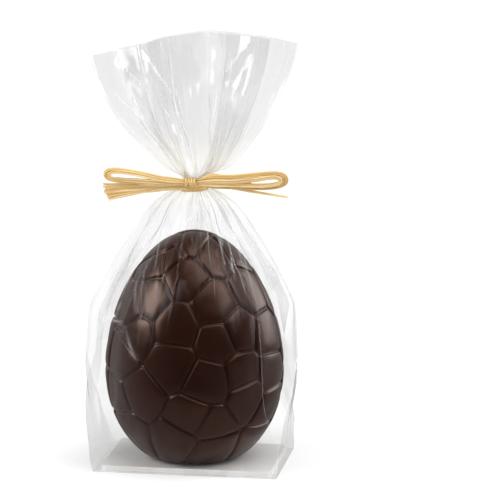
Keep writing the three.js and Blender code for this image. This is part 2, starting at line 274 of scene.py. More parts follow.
def floor_material():
    """A pale, softly glowing table. Reflections see painted colours on it: painted shade in front, and
    paler painted reflection near the pack and at the sides.
    """
    shader = new_material("pale_floor")
    where = shader.axes(shader.coordinates())
    near = shader.spread(where["Y"], start=-0.23, end=-0.1)
    beside = shader.spread(shader.math("ABSOLUTE", where["X"]), start=0.12, end=0.6)
    # Painted reflection, seen only by reflections: dark in front, pale near the pack and at the sides.
    front = shader.blend(near, PAINTED_DARK_REFLECTION, PAINTED_PALE_FRONT)
    mirrored = shader.add("Emission", Color=shader.blend(beside, front, PAINTED_PALE_SIDES))
    lit = shader.add("AddShader", shader.add("BsdfDiffuse", Color=FLOOR_GREY),
                     shader.add("Emission", Strength=FLOOR_GLOW))
    return shader.done(shader.add("MixShader", shader.in_reflections(), lit, mirrored))


CHOCOLATE_DARK = (0.015, 0.0021, 0.0006, 1)
CHOCOLATE_LIGHT = (0.020, 0.0031, 0.0011, 1)
CHOCOLATE_SHINE = (1.0, 0.64, 0.49, 1)


def chocolate_material():
    """Dark satin chocolate: faint clouds of bloom, fine grain and a soft shine."""
    shader = new_material("dark_chocolate")
    where = shader.coordinates()
    clouds = shader.noise(where, scale=38, detail=4)
    mottle = shader.noise(where, scale=90, detail=3)
    waves = shader.noise(where, scale=80, detail=2)
    grain = shader.noise(where, scale=500, detail=2)
    normal = shader.bump(waves, strength=0.12, distance=0.0004)
    return shader.principled(
        Base_Color=shader.blend(shader.spread(clouds), CHOCOLATE_DARK, CHOCOLATE_LIGHT),
        Roughness=shader.spread(mottle, low=0.29, high=0.32),
        Normal=shader.bump(grain, strength=0.01, distance=0.0001, Normal=normal),
        Specular_IOR_Level=0.55, Specular_Tint=CHOCOLATE_SHINE)


# What the film lets through: between the greyest and the clearest of its facets, whose difference
# is painted shade for facets that catch their surroundings differently; in the many layers of the
# folded-in sides, and where it is gathered at the tie. Then its milky haze.
FILM_GREY = (0.87, 0.87, 0.87, 1)
FILM_CLEAR = (0.96, 0.96, 0.96, 1)
FILM_TUCKED = (0.985, 0.985, 0.985, 1)
FILM_GATHERED = (0.965, 0.955, 0.934, 1)
FILM_HAZE = (0.6, 0.6, 0.6, 1)


def film_mosaics(shader, cloth):
    """Broad facets and small dents with uneven sides, longer up the film than across it."""
    drift = shader.node("TexNoise", Vector=shader.scaled(cloth, 1 / 24, 1 / 38), Scale=1.0, Detail=1.0)
    warped = shader.vector_math("MULTIPLY_ADD", drift.outputs["Color"], (26, 34, 0), cloth)
    facets, dents = (shader.node("TexVoronoi", Vector=shader.scaled(warped, 1 / across, 1 / along),
                                 Scale=1.0, Randomness=1.0)
                     for across, along in ((15, 34), (5, 12)))
    facets.feature = "SMOOTH_F1"
    facets.inputs["Smoothness"].default_value = 0.25
    return facets.outputs["Color"], dents.outputs["Distance"]


def leaning_normal(shader, facets, creased):
    """The film's normal, leaning its own way in each facet where it is creased."""
    lean = shader.vector_math("MULTIPLY_ADD", facets, (0.7, 0.2, 0.7), (-0.35, -0.1, -0.35))
    lean = shader.vector_math("SCALE", lean, Scale=shader.spread(creased, low=0.2, start=0, end=1))
    lean = shader.vector_math("ADD", lean, shader.node("NewGeometry").outputs["Normal"])
    return shader.vector_math("NORMALIZE", lean)


def by_slant(shader, facing, power, scale, least=0.0):
    """A share that grows from its least as the film slants away from the view."""
    return shader.math("MULTIPLY_ADD", shader.math("POWER", facing, power), scale, least)


def film_tint(shader, facing, facet_shade):
    # The grey that changes from facet to facet is painted shade, standing in for facets that reflect their
    # surroundings differently.
    straight = shader.blend(facet_shade, FILM_GREY, FILM_CLEAR)
    layered = shader.blend(shader.painted("tucked"), straight, FILM_TUCKED)
    layered = shader.blend(shader.painted("lone"), layered, FILM_GREY)
    slanted = shader.blend(by_slant(shader, facing, power=1.5, scale=1.0), layered, FILM_GREY)
    return shader.blend(shader.painted("gathered"), slanted, FILM_GATHERED)


def film_veil(shader, facing, folded):
    """How much of the film is milky: at a slant, on fold lines and on the plainest creases; on the fold
    lines and the creases the milkiness is a painted highlight.
    """
    # A painted highlight: whitish haze along the plainest creases' crests.
    marked = shader.math("POWER", shader.painted("crest_highlight"), 2.0)
    hazy = shader.math("ADD", by_slant(shader, facing, power=3.0, scale=0.17, least=0.0005), folded)
    hazy = shader.math("ADD", hazy, shader.spread(marked, high=0.42, start=0, end=1))
    loose = shader.spread(shader.painted("gathered"), low=1.0, high=0.35, start=0, end=1)
    return shader.math("MULTIPLY", hazy, loose)


def film_material():
    """Thin clear film in irregular facets: greyer, hazier and more mirror-like at a slant."""
    shader = new_material("clear_film")
    cloth = shader.uv_coordinates("cloth")
    creased = shader.painted("creased")
    facets, dents = film_mosaics(shader, cloth)
    shade = shader.axes(facets)
    waves = shader.node("TexWave", Vector=shader.scaled(cloth, 1, 1 / 6), Scale=0.025,
                        Distortion=9.0, Detail=2.0).outputs["Fac"]
    # The sharper wave lines mark fold lines whose whiteness is a painted highlight; the softer ones only
    # bump the film.
    crests, lines = (shader.math("MULTIPLY", shader.math("POWER", waves, sharpness), creased)
                     for sharpness in (10.0, 70.0))
    some = shader.spread(shade["Y"], high=0.22, start=0.35, end=0.75)
    folded = shader.math("MULTIPLY", lines, some)

    normal = leaning_normal(shader, facets, creased)
    normal = shader.bump(dents, strength=0.2, distance=0.0003, Normal=normal)
    normal = shader.bump(crests, strength=0.5, distance=0.0006, Normal=normal)
    facing = shader.node("LayerWeight", Blend=0.5, Normal=normal).outputs["Facing"]

    clear = shader.add("BsdfTransparent", Color=film_tint(shader, facing, shade["X"]))
    haze = shader.add("AddShader", shader.add("BsdfTranslucent", Color=FILM_HAZE),
                      shader.add("BsdfDiffuse", Color=FILM_HAZE))
    veiled = shader.add("MixShader", film_veil(shader, facing, folded), clear, haze)
    shine = shader.math("ADD", by_slant(shader, facing, power=3.0, scale=0.38, least=0.008),
                        shader.spread(shader.painted("spread"), high=0.05, start=0, end=1))
    gloss = shader.add("BsdfGlossy", Roughness=0.21, Normal=normal)
    return shader.done(shader.add("MixShader", shine, veiled, gloss))


BOARD_SHADED = (0.82, 0.805, 0.785, 1)
BOARD_WHITE = (0.89, 0.87, 0.85, 1)


def board_material():
    """White card with faint paper grain."""
    shader = new_material("white_board")
    fibres = shader.noise(shader.coordinates(), scale=700, detail=4)
    return shader.principled(Base_Color=shader.blend(shader.spread(fibres), BOARD_SHADED, BOARD_WHITE),
                             Normal=shader.bump(fibres, strength=0.2, distance=0.0001), Roughness=0.6)


STRAW_DARK = (0.45, 0.23, 0.045, 1)
STRAW_PALE = (0.97, 0.78, 0.43, 1)
STRAW_BROWN = (0.60, 0.37, 0.11, 1)


def raffia_material():
    """Straw-coloured strands with long fibres and a slight sheen."""
    shader = new_material("raffia")
    where = shader.uv_coordinates("fibre")
    fibres = shader.noise(shader.scaled(where, 1.0, 0.03), scale=1.7, detail=5, roughness=0.65)
    patches = shader.noise(where, scale=0.12, detail=2)
    straw = shader.blend(shader.spread(fibres, start=0.38, end=0.6), STRAW_DARK, STRAW_PALE)
    straw = shader.blend(shader.spread(patches, high=0.4), straw, STRAW_PALE)
    straw = shader.blend(shader.painted("tone"), straw, STRAW_BROWN)
    return shader.principled(Base_Color=straw, Roughness=0.5, Sheen_Weight=0.15,
                             Normal=shader.bump(fibres, strength=0.5, distance=0.0004))


# -------- egg

EGG_RADIUS = 48.6
OVAL_HEIGHT = 132
OVAL_CUT = 7.2
FULLNESS = 0.146
EGG_FOOT = 3.3
EGG_HEART = 53
FOOT_ROUNDING = 1.3
GROOVE_DEPTH = 1.4
GROOVE_REACH = 1.35
RIM_DROP = 0.25
RIM_END = 3.8
PLATE_SPACING = 21

# A plate's mesh: how far inside its edge its rings lie, how round their corners are, the length
# of the edge's pieces, and how many neighbours are looked at.
RING_DEPTHS = [0, 0.3, 0.55, 0.8, 1.05, 1.35, 1.9, 2.8, 4.2, 6.5, 9.5]
RING_ROUNDING = 0.55
EDGE_STEP = 1.5
NEIGHBOURS = 14

# Middles of the plates on the front: degrees round from +X, and height above the egg's foot.
FRONT_PLATES = [
    (-139, 118), (-120, 115), (-86, 121), (-51, 117), (-7, 115),
    (-131, 113), (-92, 107), (-64, 92), (-24, 98), (-137, 88),
    (-120, 94), (-95, 82), (-63, 74), (-48, 78), (-19, 72),
    (-126, 75), (-136, 61), (-97, 62), (-71, 51), (-47, 55),
    (-21, 53), (-120, 43), (-81, 30), (-43, 41), (-20, 31),
    (-143, 36), (-139, 21), (-92, 16), (-70, 26), (-67, 11), (-21, 13),
]


def oval_radius(height):
    """Radius of the uncut oval at a height above the egg's foot."""
    up = np.clip((np.asarray(height, float) + OVAL_CUT) / (OVAL_HEIGHT / 2) - 1, -1, 1)
    widest = (1 - sqrt(1 + 8 * FULLNESS ** 2)) / (4 * FULLNESS)
    factor = sqrt(1 - widest ** 2) * (1 - FULLNESS * widest)
    return EGG_RADIUS * np.sqrt(1 - up * up) * (1 - FULLNESS * up) / factor


def oval_reach(directions):
    """Distance from the egg's heart to the uncut oval, found by halving."""
    flat = np.hypot(directions[..., 0], directions[..., 1])
    inside = np.zeros_like(flat)
    outside = np.full_like(flat, OVAL_HEIGHT)
    for _ in range(40):
        middle = (inside + outside) / 2
        within = middle * flat < oval_radius(EGG_HEART + middle * directions[..., 2])
        inside = np.where(within, middle, inside)
        outside = np.where(within, outside, middle)
    return inside


def egg_points(directions, relief):
    """The egg's skin: the oval with a relief, cut flat at the foot with a rounded edge."""
    reach = oval_reach(directions) + relief
    downward = np.minimum(directions[..., 2], -0.05)
    foot = -EGG_HEART / downward
    cut = foot - FOOT_ROUNDING * np.logaddexp(0, (foot - reach) / FOOT_ROUNDING)
    reach = np.where(directions[..., 2] < -0.3, cut, reach)
    return directions * reach[..., None] + np.array([0, 0, EGG_HEART + EGG_FOOT])


def plate_directions():
    """Directions to the plates' middles: the front, then a wavering spiral."""
    def middle(azimuth, height):
        radius, angle = float(oval_radius(height)), radians(azimuth)
        return np.array([radius * cos(angle), radius * sin(angle), height - EGG_HEART])

    middles = [middle(*plate) for plate in FRONT_PLATES]
    steps, golden, bottom, top, waver = 220, 137.5, 9, 123, 6
    for step in range(steps):
        height = bottom + (top - bottom) * (step + 0.5) / steps + waver * sin(step * 1.7)
        new = middle(step * golden + waver * sin(step * 2.3), height)
        if min(norm(new - other) for other in middles) >= PLATE_SPACING:
            middles.append(new)
    middles.append(np.array([0.0, 0.0, -EGG_HEART]))
    return unit(np.array(middles))


def plate_corners(middle, others):
    """Corners of a plate as directions: a square on the tangent plane, clipped by its neighbours."""
    pole = np.array([0.0, 0, 1]) if abs(middle[2]) < 0.9 else np.array([1.0, 0, 0])
    across = unit(np.cross(pole, middle))
    upward = np.cross(middle, across)
    outline = [np.array(corner, float) for corner in ((-2, -2), (2, -2), (2, 2), (-2, 2))]
    for other in others:
        away = middle - other
        sides = [away @ middle + away @ across * x + away @ upward * y for x, y in outline]
        kept = []
        for index, start in enumerate(outline):
            end = outline[(index + 1) % len(outline)]
            side_start, side_end = sides[index], sides[(index + 1) % len(outline)]
            if side_start >= 0:
                kept.append(start)
            if (side_start >= 0) != (side_end >= 0):
                kept.append(start + (end - start) * side_start / (side_start - side_end))
        outline = kept
    return unit(np.array([middle + across * x + upward * y for x, y in outline]))


def plate_edge(corners):
    """Directions along a plate's sides, the same from both plates that share one."""
    edge = []
    for corner, end in zip(corners, np.roll(corners, -1, axis=0)):
        reach = float(oval_reach(unit(corner + end)))
        count = max(1, round(norm(corner - end) * reach / EDGE_STEP))
        edge += [unit(corner + (end - corner) * index / count) for index in range(count)]
    return np.array(edge)


def plate_relief(depth):
    """Height of the skin at a distance inside a plate's edge."""
    groove = (GROOVE_DEPTH - RIM_DROP) * (1 - smooth(depth, 0, GROOVE_REACH))
    rim = RIM_DROP * (1 - smooth(depth, GROOVE_REACH * 0.6, RIM_END))
    return -groove - rim


def inset(directions, inward, reach):
    """How far inside a plate's sides directions are, less so near its corners."""
    sides = directions @ inward.T * reach
    least = sides.min(axis=-1)
    crowd = np.exp(-(sides - least[..., None]) / RING_ROUNDING).sum(axis=-1)
    return least - RING_ROUNDING * np.log(crowd)


def plate_rings(middle, others):
    """A plate's rings from its edge inwards, [depth, directions], and its centre."""
    corners = plate_corners(middle, others)
    centre = unit(corners.sum(axis=0))
    edge = plate_edge(corners)
    inward = unit(middle - others)
    near = inward[np.argsort(inward @ centre)[:NEIGHBOURS]]
    reach = float(oval_reach(centre))
    half_size = float(inset(centre[None], near, reach)[0])
    rings = []
    for depth in RING_DEPTHS:
        if depth >= half_size * 0.8:
            break
        inner, outer = np.zeros(len(edge)), np.ones(len(edge))
        for _ in range(18):
            share = (inner + outer) / 2
            deeper = inset(unit(centre + (edge - centre) * share[:, None]), near, reach) > depth
            inner = np.where(deeper, share, inner)
            outer = np.where(deeper, outer, share)
        share = np.ones(len(edge)) if depth == 0 else inner
        rings.append((depth, unit(centre + (edge - centre) * share[:, None])))
    return rings, centre


def egg_mesh():
    """Rings of each plate, from the bottom of its groove to its middle."""
    middles = plate_directions()
    points, faces = [], []
    first = 0
    for index, middle in enumerate(middles):
        rings, centre = plate_rings(middle, np.delete(middles, index, axis=0))
        points += [egg_points(ring, float(plate_relief(depth))) for depth, ring in rings]
        points.append(egg_points(centre[None], 0.0))
        count = len(rings[0][1])
        top = first + count * len(rings)
        for low in range(first, top - count, count):
            high = low + count
            faces += [(low + i, low + (i + 1) % count, high + (i + 1) % count, high + i)
                      for i in range(count)]
        last = top - count
        faces += [(last + i, last + (i + 1) % count, top) for i in range(count)]
        first = top + 1
    return np.concatenate(points), faces


def add_egg():
    """The plates share their edges, so the points there are welded."""
    points, faces = egg_mesh()
    egg = place("egg_crackle", points, faces, chocolate_material(), ["egg"])
    weld = egg.modifiers.new("weld", "WELD")
    weld.merge_threshold = 0.00002
    bpy.context.view_layer.objects.active = egg
    bpy.ops.object.modifier_apply(modifier="weld")


# -------- film bag

BAG_WIDTH = 100.0
BAG_DEPTH = 68.0
GIRTH = 2 * (BAG_WIDTH + BAG_DEPTH)
NECK_Z = 155.0
COLUMNS = 252
BODY_ROWS = 130
FAN_ROWS = 66
COLUMN_STEP = GIRTH / COLUMNS
ROW_STEP = 1.3
RIGHT_FOLD = round((BAG_WIDTH + BAG_DEPTH) / 2 / COLUMN_STEP)
LEFT_FOLD = RIGHT_FOLD + COLUMNS // 2
EGG_CLEARANCE = 0.5
FILM_EASE = 0.7
STEEPEST_FOLD = 0.985

# Heights up to the tie, and how far left and right of the middle the side folds are there.
FOLD_HEIGHTS = [0, 5, 14, 25, 40, 62, 84, 92, 98, 105, 112, 118, 128, 138, 144, 148, 150, 152, 155]
FOLD_LEFT = [50, 52, 53.4, 55.2, 57.4, 59.2, 57.6, 54.4, 51.2, 47.3, 43.6, 39.8, 33.2, 26.3, 20.8, 15.2,
             12, 8, 4]
FOLD_RIGHT = [50, 50.6, 51, 52, 54.4, 57.3, 56.5, 55.7, 52.8, 49.2, 45.4, 41.8, 35.2, 28.4, 22.6, 17,
              13.6, 9, 4]

# How far in front of the middle the side folds lie, how high the foot's corners reach, and how
# far the film stands out in front and behind at least.
FOLD_SHIFT = 5.0
BLOCK_HEIGHT = 62.0
TENT_HEIGHTS = [0, 37, 50, 96, 149, 155]
TENT_DEPTHS = [BAG_DEPTH / 2, 46.9, EGG_RADIUS, 37, 5, 3.6]

# Heights over the tie, and how far the fan reaches left and right there.
FAN_HEIGHTS = [0, 3.5, 6, 10.7, 14, 20.6, 27.2, 33.9, 40.5, 47.1, 53.7, 60.3, 67, 76]
FAN_LEFT = [4, 8, 12.5, 17.9, 21.1, 28.2, 35.4, 40.8, 45.7, 49.6, 52.9, 55.2, 57, 57.5]
FAN_RIGHT = [4, 12, 17.5, 22.1, 25.4, 30.4, 35.3, 39.2, 42.4, 46.2, 49, 51.7, 53.9, 55.5]

# The flat-folded top of the bag, [x, y] of its folds going round from the front left corner.
# Further down, the folds are at these cloth lengths from the front middle.
TOP_FOLDS = [(-57, -3), (41, -4), (17.5, 0.3), (55.5, 4), (-42.5, 3.6), (-19, -0.3)]
FOLD_LENGTHS = [-50, 50, 84, 118, 218, 252, 286]
TOP_EDGE_X = [-57, -40, -27, -19, -10, 0, 8, 20, 37, 46, 55.5]
TOP_EDGE_Z = [222, 226, 229.3, 232.2, 234.2, 235.7, 236.6, 235.8, 234.3, 232.3, 230.6]
FAN_HEIGHT = max(TOP_EDGE_Z) - NECK_Z
WIDE_PANEL = 40

# The bag's turned-in foot: half the opening left for the card, and the strip's two heights.
FOOT_OPENING = (46.4, 30.9)
FOOT_HEIGHTS = (0.25, 0.7)

# The plainest creases of the front, as in the photo: [across, up] of both ends in the cloth, half
# the width and the height. Their crests get whitish marks of one width, a painted highlight.
FRONT_CREASES = [
    (-46, 144, -24, 112, 2.4, 1.0), (-25, 119, -20, 96, 2.0, 0.7), (-61, 140, -50, 115, 2.2, 0.9),
    (-51, 119, -32, 87, 2.4, 0.9), (-46, 126, -27, 86, 2.0, 0.7), (35, 149, 32, 117, 2.4, 0.9),
    (33, 126, 30, 100, 2.2, 0.6), (58, 149, 45, 129, 2.6, 1.1), (46, 136, 35, 105, 3.0, 1.2),
    (-64, 85, -37, 82.5, 2.4, 0.9), (-41, 84, -25, 65, 2.4, 1.0), (-37, 73, -25, 65.5, 2.0, 0.6),
    (-78, 82, -52, 83, 3.0, 1.0), (64, 143, 73, 122, 2.8, 1.0), (72, 126, 75, 97, 2.8, 1.0),
    (-51, 242, -29, 205, 5.0, 1.4), (-37, 254, -23, 224, 5.0, -1.4), (-25, 231, -6, 199, 5.0, -1.3),
    (-26, 258, -6, 222, 9.0, 2.3), (-9, 231, 1, 193, 8.0, 2.0), (-14, 260, -8, 240, 4.0, 1.1),
    (-9, 248, 2, 200, 4.0, 1.1), (42, 259, 37, 246, 5.0, 1.3), (38, 251, 24, 231, 7.0, 1.7),
    (25, 237, 22, 194, 5.0, 1.3),
]
CREST_REACH = 1.5

# Creases strewn over the body's top, its middle and the fan: how many, from and to how far up the
# cloth, how far they lean, and the ranges of their length, half width and height.
STREWN_CREASES = [
    (30, 100, 162, 28, (14, 40), (2.5, 5), (0.4, 1.1)),
    (22, 44, 124, 30, (16, 44), (3, 6), (0.3, 0.8)),
    (90, 178, 258, 30, (14, 52), (2.5, 7), (0.4, 1.5)),
]


def odd_groups(rng, total, groups):
    """Splits an odd number of folds into odd groups."""
    sizes = np.ones(groups, int)
    for _ in range((total - groups) // 2):
        weight = 1.0 / sizes ** 1.5
        sizes[rng.choice(groups, p=weight / weight.sum())] += 2
    return running(sizes)


def crease_columns(rng, first, last, middling, wide):
    """Creases of three sizes, each merging odd groups of the one before."""
    columns = [0]
    while columns[-1] < last - first:
        columns.append(columns[-1] + int(rng.choice([2, 3, 3, 4])))
    columns[-1] = last - first
    fine = np.unique(columns)
    if len(fine) % 2:
        fine = np.delete(fine, 1)
    mid = fine[odd_groups(rng, len(fine) - 1, middling)]
    broad = mid[odd_groups(rng, middling, wide)]
    return [columns + first for columns in (fine, mid, broad)]


def zigzag(creases, columns):
    """Heights that rise and fall by turns between creases."""
    lengths = np.diff(creases) * COLUMN_STEP
    turns = np.where(np.arange(len(lengths)) % 2, -1.0, 1.0)
    heights = running(lengths * turns)
    level = heights.copy()
    level[1:-1] = (heights[:-2] + 2 * heights[1:-1] + heights[2:]) / 4
    level[0] = (heights[0] + heights[1]) / 2
    level[-1] = (heights[-1] + heights[-2]) / 2
    return np.interp(columns, creases, heights - level)


def wander(rng, creases, columns, rows, knots, amount):
    """How far creases stray sideways in the cloth from row to row."""
    stray = rng.uniform(-1, 1, (knots, len(creases)))
    gaps = np.diff(creases) * COLUMN_STEP
    stray[:, 1:-1] *= np.minimum(gaps[:-1], gaps[1:]) * amount
    stray[:, [0, -1]] = 0
    at_rows = [np.interp(np.arange(rows), np.linspace(0, rows - 1, knots), stray[:, crease])
               for crease in range(len(creases))]
    return np.stack([np.interp(columns, creases, row) for row in np.stack(at_rows, -1)])


class Pleats:
    """A panel's creases: fine ones at the tie that merge into middling and broad ones."""

    def __init__(self, rng, first, last, groups, rows, knots, stray, delay):
        self.columns = np.arange(first, last + 1)
        self.from_ends = np.minimum(self.columns - first, last - self.columns) * COLUMN_STEP
        creases = crease_columns(rng, first, last, *groups)
        self.fine, self.mid, self.broad = (zigzag(size, self.columns) for size in creases)
        self.stray = wander(rng, creases[1], self.columns, rows, knots, stray)
        self.delay = np.interp(self.columns, creases[2], rng.uniform(-delay, delay, len(creases[2])))

    def heights(self, open_fine, open_mid):
        """Heights of the folds, with the fine and the middling creases opened so far."""
        return (self.fine * (1 - open_fine) + self.mid * open_fine * (1 - open_mid)
                + self.broad * open_fine * open_mid)

    def cloth(self, row, strayed):
        """Lengths of cloth from the first column, with the creases strayed."""
        return (self.columns - self.columns[0]) * COLUMN_STEP + self.stray[row] * strayed


def fold_to(length, cloth, heights):
    """Heights scaled so that the cloth folds up into a length, and where on it its columns come."""
    along, up = np.diff(cloth), np.diff(heights)

    def folded(scale):
        return np.sqrt(np.maximum(along ** 2 - (scale * up) ** 2, 1e-8))

    low, high = 0.0, STEEPEST_FOLD / max(1e-6, np.abs(up / along).max())
    if folded(0).sum() <= length:
        high = 0.0
    for _ in range(30):
        scale = (low + high) / 2
        if folded(scale).sum() > length:
            low = scale
        else:
            high = scale
    return high * heights, running(folded(high))


def lower_hull(points):
    """The lower side of the points' convex outline, from left to right."""
    kept = []
    for x, y in sorted(points):
        while len(kept) > 1:
            (x0, y0), (x1, y1) = kept[-2:]
            if (x1 - x0) * (y - y0) - (y1 - y0) * (x - x0) > 0:
                break
            kept.pop()
        kept.append((x, y))
    return np.array(kept)


def half_section(height, side):
    """The bag's front (side -1) or back (side 1) outline at a height, from left to right: its
    points, their distances along it, and those of the two corner creases."""
    left, right = (float(np.interp(height, FOLD_HEIGHTS, reach)) for reach in (FOLD_LEFT, FOLD_RIGHT))
    fold_y = -FOLD_SHIFT * float(ramp(height, 0, 40) * ramp(height, NECK_Z, 90))
    corner_y = fold_y + side * BAG_DEPTH / 2 * float(1 - ramp(height, 0, BLOCK_HEIGHT))
    on_egg = float(oval_radius(height - EGG_FOOT)) + EGG_CLEARANCE if height > EGG_FOOT else 0.0
    depth = max(on_egg, float(np.interp(height, TENT_HEIGHTS, TENT_DEPTHS)))
    angle = np.linspace(0, pi, 91)
    outward = -side
    points = list(zip(depth * np.cos(angle), -depth * np.sin(angle)))
    points += [(-left - 0.05, outward * fold_y), (right + 0.05, outward * fold_y),
               (-left, outward * corner_y), (right, outward * corner_y)]
    curve = lower_hull(points)
    curve[:, 1] *= outward
    lengths = running(norm(np.diff(curve, axis=0), axis=1))
    corners = [lengths[norm(curve - (x, corner_y), axis=1).argmin()] for x in (-left, right)]
    return curve, lengths, corners


def along_curve(curve, lengths, spots):
    """Points of a curve at distances along it, and its normals there."""
    def at(spots):
        spots = np.clip(spots, 0, lengths[-1])
        return np.stack([np.interp(spots, lengths, curve[:, axis]) for axis in (0, 1)], -1)

    tangent = unit(at(spots + 1.2) - at(spots - 1.2))
    return at(spots), np.stack([tangent[:, 1], -tangent[:, 0]], -1)


def body_row(pleats, row, height, side):
    """Points of the film's front (side -1) or back (side 1) at a height.

    The pleats fade where the film is tight over the egg, beside its side folds and at the foot."""
    below = NECK_Z - height
    curve, lengths, corners = half_section(height, side)
    folds = pleats.heights(ramp(below + 0.4 * pleats.delay, 4, 13), ramp(below + pleats.delay, 22, 46))
    tight = ramp(below, 28, 52) * smooth(pleats.from_ends, 26, 46)
    folds = folds * (1 - 0.93 * tight)
    folds = folds * (1 - ramp(below, 8, 30) * (1 - smooth(pleats.from_ends, 0, 10)))
    folds, spots = fold_to(lengths[-1], pleats.cloth(row, ramp(below, 5, 30)), folds)
    folds = folds * smooth(height, 6, 58)
    spots = spots / spots[-1] * lengths[-1]
    if side > 0:
        spots = lengths[-1] - spots
    if height < BLOCK_HEIGHT:
        for corner in corners:
            spots[np.abs(spots - corner).argmin()] = corner
    flat, normal = along_curve(curve, lengths, spots)
    return np.column_stack([flat - side * normal * folds[:, None], np.full(len(flat), height)])


def film_body(rng):
    """Rows of the film from the foot to the tie."""
    heights = np.linspace(0, NECK_Z, 400)
    reach = np.interp(heights, FOLD_HEIGHTS, FOLD_LEFT)
    slant = running(np.hypot(np.diff(heights), np.diff(reach)))
    row_heights = np.interp(np.linspace(0, slant[-1], BODY_ROWS + 1), slant, heights)
    rows = np.zeros((BODY_ROWS + 1, COLUMNS, 3))
    for side, first, last in ((-1, LEFT_FOLD, RIGHT_FOLD + COLUMNS), (1, RIGHT_FOLD, LEFT_FOLD)):
        pleats = Pleats(rng, first, last, (19, 11), BODY_ROWS + 1, knots=7, stray=0.16, delay=9)
        for row, height in enumerate(row_heights):
            rows[row, pleats.columns % COLUMNS] = body_row(pleats, row, height, side)
    return rows


def keep_off_egg(points):
    """Moves film points outwards where they come too near the egg."""
    heart = np.array([0, 0, EGG_HEART + EGG_FOOT])
    distance = norm(points - heart, axis=-1)
    directions = (points - heart) / distance[..., None]
    skin = oval_reach(directions) + EGG_CLEARANCE
    away = skin + FILM_EASE * np.logaddexp(0, (distance - skin) / FILM_EASE)
    return heart + directions * away[..., None]


def fan_fold_lengths():
    """Cloth lengths from the front middle to the folds of the top."""
    folds = np.array(TOP_FOLDS)
    gaps = norm(np.roll(folds, -1, axis=0) - folds, axis=1)
    lengths = running(gaps) * GIRTH / gaps.sum()
    return lengths - lengths[1] / 2


def fan_fold(index, share):
    """[x, y] of one of the top's folds at a share of the way up from the tie."""
    x, y = TOP_FOLDS[index]
    reach = FAN_LEFT if x < 0 else FAN_RIGHT
    top = np.interp(x, TOP_EDGE_X, TOP_EDGE_Z) - NECK_Z
    x *= np.interp(share * top, FAN_HEIGHTS, reach) / reach[-1]
    return np.array([x, y * np.interp(share, [0, 0.3, 0.6, 1], [1.2, 1.6, 1.4, 1])])


def fan_row(pleats, row, index, following):
    """Points of the fan's panel between two of its folds."""
    share = row / FAN_ROWS
    above = share * FAN_HEIGHT
    near, far = fan_fold(index, share), fan_fold(following, share)
    folds = pleats.heights(ramp(above, 4, 14), ramp(above + pleats.delay, 24, 60))
    cloth = pleats.cloth(row, ramp(above, 5, 30))
    folds, spots = fold_to(max(norm(far - near), 1.0), cloth, folds)
    folds = folds * (1 - 0.5 * ramp(above, 30, 76))
    along = spots / spots[-1]
    flat = near + (far - near) * along[:, None]
    (start_x, start_y), (end_x, end_y) = TOP_FOLDS[index], TOP_FOLDS[following]
    flat[:, 1] += (-1 if start_y + end_y < 0 else 1) * folds
    top = np.interp(start_x + (end_x - start_x) * along, TOP_EDGE_X, TOP_EDGE_Z)
    return np.column_stack([flat, NECK_Z + (top - NECK_Z) * share])


def film_fan(rng, neck):
    """Rows of the film from the tie to the top: pleated panels with folded-in sides."""
    rows = np.zeros((FAN_ROWS + 1, COLUMNS, 3))
    fold_columns = [round(length / COLUMN_STEP) for length in fan_fold_lengths()]
    for index in range(len(TOP_FOLDS)):
        first, last = fold_columns[index:index + 2]
        groups = (15, 9) if last - first > WIDE_PANEL else (5, 3)
        pleats = Pleats(rng, first, last, groups, FAN_ROWS + 1, knots=5, stray=0.2, delay=12)
        for row in range(FAN_ROWS + 1):
            rows[row, pleats.columns % COLUMNS] = fan_row(pleats, row, index, (index + 1) % len(TOP_FOLDS))
    above = np.arange(FAN_ROWS + 1)[:, None, None] / FAN_ROWS * FAN_HEIGHT
    opened = ramp(above, 0, 8)
    rows[..., :2] = neck[:, :2] * (1 + above * 0.16) * (1 - opened) + rows[..., :2] * opened
    return rows


def round_cloth(lengths):
    """Lengths round the cloth, taken the shorter way."""
    return (lengths + GIRTH / 2) % GIRTH - GIRTH / 2


def cloth_grid(rows):
    """How far across and up the cloth each point of the film's rows is."""
    up = running(norm(np.diff(rows, axis=0), axis=-1).mean(axis=1))
    across = np.arange(COLUMNS) * COLUMN_STEP
    return np.broadcast_arrays(across[None], up[:, None])


def ridge_heights(across, up, ridges):
    """Heights of straight creases with sharp crests that fade towards their ends."""
    heights = np.zeros(across.shape)
    for across_from, up_from, across_to, up_to, half_width, height in ridges:
        run, rise = across_to - across_from, up_to - up_from
        length = hypot(run, rise)
        away = round_cloth(across - across_from)
        share = (away * run + (up - up_from) * rise) / length ** 2
        aside = np.abs(away * rise - (up - up_from) * run) / length
        shape = 1 - np.abs(2 * np.clip(share, 0, 1) - 1) ** 1.6
        heights += height * shape * np.clip(1 - aside / (half_width * (0.35 + 0.65 * shape)), 0, None)
    return heights


def strewn_ridges(rng, count, low, high, lean, lengths, widths, heights):
    """Creases scattered round the film between two distances up it."""
    ridges = []
    for _ in range(count):
        angle = radians(rng.uniform(-lean, lean))
        length = rng.uniform(*lengths)
        across, up = rng.uniform(0, GIRTH), rng.uniform(low, high - length * cos(angle))
        ridges.append((across, up, across + length * sin(angle), up + length * cos(angle),
                       rng.uniform(*widths), rng.uniform(*heights) * rng.choice([-1, 1])))
    return ridges


